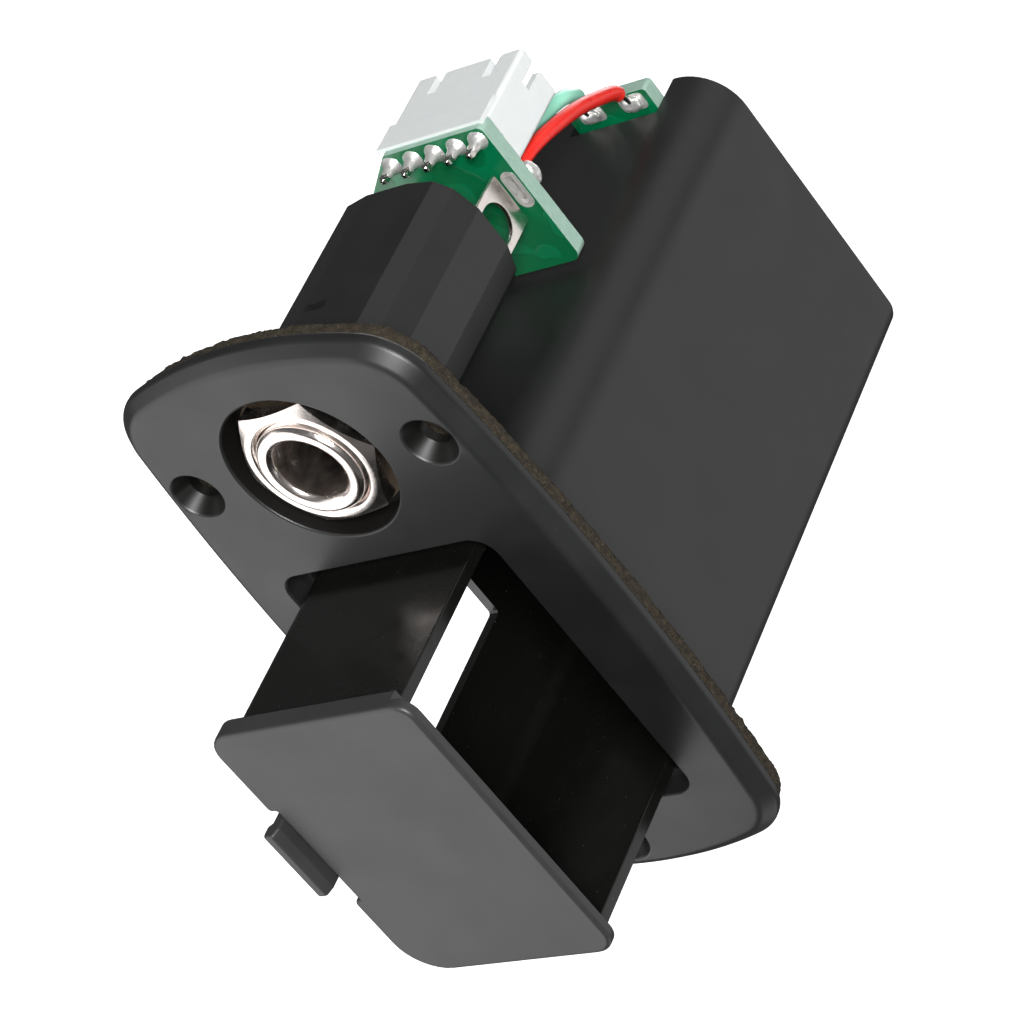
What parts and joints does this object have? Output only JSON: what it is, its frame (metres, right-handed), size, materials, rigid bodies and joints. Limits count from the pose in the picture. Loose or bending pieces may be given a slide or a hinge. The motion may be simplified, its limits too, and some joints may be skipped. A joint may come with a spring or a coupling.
{
  "type": "guitar output jack plate with battery drawer",
  "caption": "Black moulded output jack plate for a guitar, with a pull-out battery drawer, a nickel jack socket, a foam gasket, green circuit boards and a white wire header",
  "frame": {"origin": "on the plate's seating plane, the back of the gasket, where it meets the instrument's side: on its long centre line, and within a millimetre of its middle", "axes": "+Y goes into the instrument and -Y is outward, toward the player; +X runs from the jack to the battery drawer; +Z is the side where the drawer's tray is open"},
  "size_m": [0.0641, 0.0757, 0.036],
  "materials": {
    "black_plastic": "fine satin texture, black ABS",
    "foam": "fibrous black-brown gasket foam",
    "fibre": "pressed fibre",
    "nickel": "bright nickel plate",
    "jack_plastic": "moulded black",
    "brass": "spring brass",
    "board_green": "green solder mask",
    "nylon_white": "satin white nylon",
    "tinned": "tin plate",
    "solder": "bright solder",
    "wire_red": "PVC insulation",
    "wire_green": "PVC insulation"
  },
  "bodies": {
    "housing": {"housing": "black_plastic", "gasket": "foam", "nut_washer": "fibre", "jack_nut": "nickel", "jack_bushing": "nickel", "jack_body": "jack_plastic", "sleeve_terminal": "nickel", "jack_pcb": "board_green", "header_shell": "nylon_white", "header_pin_1": "tinned", "header_pin_2": "tinned", "header_pin_3": "tinned", "header_pin_4": "tinned", "header_pin_5": "tinned", "solder_joint_1": "solder", "solder_joint_2": "solder", "solder_joint_3": "solder", "solder_joint_4": "solder", "solder_joint_5": "solder", "terminal_solder": "solder", "contact_board": "board_green", "pad_solder_red": "solder", "pad_solder_green": "solder", "red_wire": "wire_red", "green_wire": "wire_green"},
    "drawer": {"drawer_tray": "black_plastic"},
    "latch": {"latch_finger": "black_plastic"},
    "contact_pos": {"battery_contact_pos": "nickel"},
    "contact_neg": {"battery_contact_neg": "nickel"},
    "tip_spring": {"tip_contact": "brass"},
    "ring_spring": {"ring_contact": "brass"}
  },
  "joints": [
    {"name": "drawer_slide", "type": "slide", "parent": "housing", "child": "drawer", "axis": [0, -1, 0], "range_m": [-0.01735, 0.03]},
    {"name": "latch_hinge", "type": "hinge", "parent": "drawer", "child": "latch", "pos_m": [0.0056, -0.00715, -0.0115], "axis": [-1, 0, 0], "range_deg": [0, 2], "stiffness_Nm_per_rad": 0.02},
    {"name": "contact_pos_flex", "type": "hinge", "parent": "housing", "child": "contact_pos", "pos_m": [-0.00005, 0.0489, -0.0062], "axis": [-1, 0, 0], "range_deg": [0, 12], "stiffness_Nm_per_rad": 0.004},
    {"name": "contact_neg_flex", "type": "hinge", "parent": "housing", "child": "contact_neg", "pos_m": [0.01265, 0.0489, -0.0062], "axis": [-1, 0, 0], "range_deg": [0, 12], "stiffness_Nm_per_rad": 0.004},
    {"name": "tip_contact_flex", "type": "hinge", "parent": "housing", "child": "tip_spring", "pos_m": [-0.0202, 0.0276, -0.00435], "axis": [1, 0, 0], "range_deg": [0, 6], "stiffness_Nm_per_rad": 0.004},
    {"name": "ring_contact_flex", "type": "hinge", "parent": "housing", "child": "ring_spring", "pos_m": [-0.0161, 0.0276, 0], "axis": [0, 0, 1], "range_deg": [0, 3], "stiffness_Nm_per_rad": 0.004}
  ]
}
